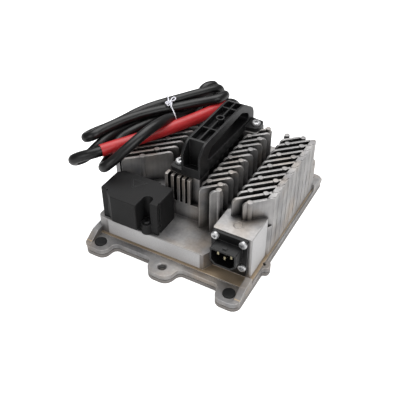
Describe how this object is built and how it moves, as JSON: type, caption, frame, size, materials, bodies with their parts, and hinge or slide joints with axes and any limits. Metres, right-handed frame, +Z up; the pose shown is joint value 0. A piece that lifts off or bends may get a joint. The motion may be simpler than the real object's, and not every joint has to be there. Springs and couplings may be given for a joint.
{
  "type": "golf cart charger",
  "caption": "Finned die-cast battery charger with a carrying handle, mains inlet, covered terminals and two battery leads tied in a hank.",
  "frame": {"origin": "centre of the footprint, on the surface that the charger stands on", "axes": "+X to the right along the front with the inlet, +Y towards the back, +Z up"},
  "size_m": [0.2314, 0.2345, 0.1185],
  "materials": {
    "cast_aluminium": "as die cast, lightly tumbled",
    "sheet_aluminium": "rolled plate",
    "seal_rubber": "moulded",
    "plug_rubber": "moulded",
    "zinc_steel": "bright zinc plated",
    "inlet_plastic": "moulded",
    "pin_brass": "nickel plated tips",
    "cover_plastic": "spark textured",
    "handle_nylon": "glass filled nylon",
    "block_plastic": "moulded",
    "stud_brass": "turned",
    "lead_jacket": "extruded",
    "sleeve_red": "extruded sleeve",
    "tie_white": "paper covered wire",
    "gland_plastic": "moulded",
    "terminal_copper": "tinned copper",
    "label_silver": "printed foil, left bare",
    "board_laminate": "laminate",
    "ferrite": "pressed and sintered",
    "winding_wire": "enamelled wire",
    "capacitor_sleeve": "shrunk sleeve",
    "pad_silicone": "sheet",
    "package_epoxy": "moulded"
  },
  "bodies": {
    "root": {"housing": "cast_aluminium", "base_plate": "sheet_aluminium", "base_gasket": "seal_rubber", "base_screws": "zinc_steel", "foot_plugs": "plug_rubber", "inlet_body": "inlet_plastic", "inlet_gasket": "seal_rubber", "line_pin": "pin_brass", "earth_pin": "pin_brass", "neutral_pin": "pin_brass", "inlet_screws": "zinc_steel", "terminal_cover": "cover_plastic", "cover_screw": "zinc_steel", "terminal_block": "block_plastic", "negative_stud": "stud_brass", "positive_stud": "stud_brass", "stud_nuts": "zinc_steel", "handle": "handle_nylon", "handle_screws": "zinc_steel", "circuit_board": "board_laminate", "board_standoffs": "stud_brass", "board_screws": "zinc_steel", "transformer_core": "ferrite", "transformer_winding": "winding_wire", "output_choke": "winding_wire", "bulk_capacitors": "capacitor_sleeve", "thermal_pad": "pad_silicone", "power_transistors": "package_epoxy", "positive_gland": "gland_plastic", "negative_gland": "gland_plastic", "positive_lead_feed": "lead_jacket", "negative_lead_feed": "lead_jacket", "lead_hank": "lead_jacket", "hank_tie": "tie_white", "positive_lead_end": "lead_jacket", "red_sleeve": "sleeve_red", "positive_terminal": "terminal_copper", "positive_lead_loop": "lead_jacket", "negative_lead_end": "lead_jacket", "negative_terminal": "terminal_copper", "front_label": "label_silver", "side_label": "label_silver"}
  },
  "joints": []
}
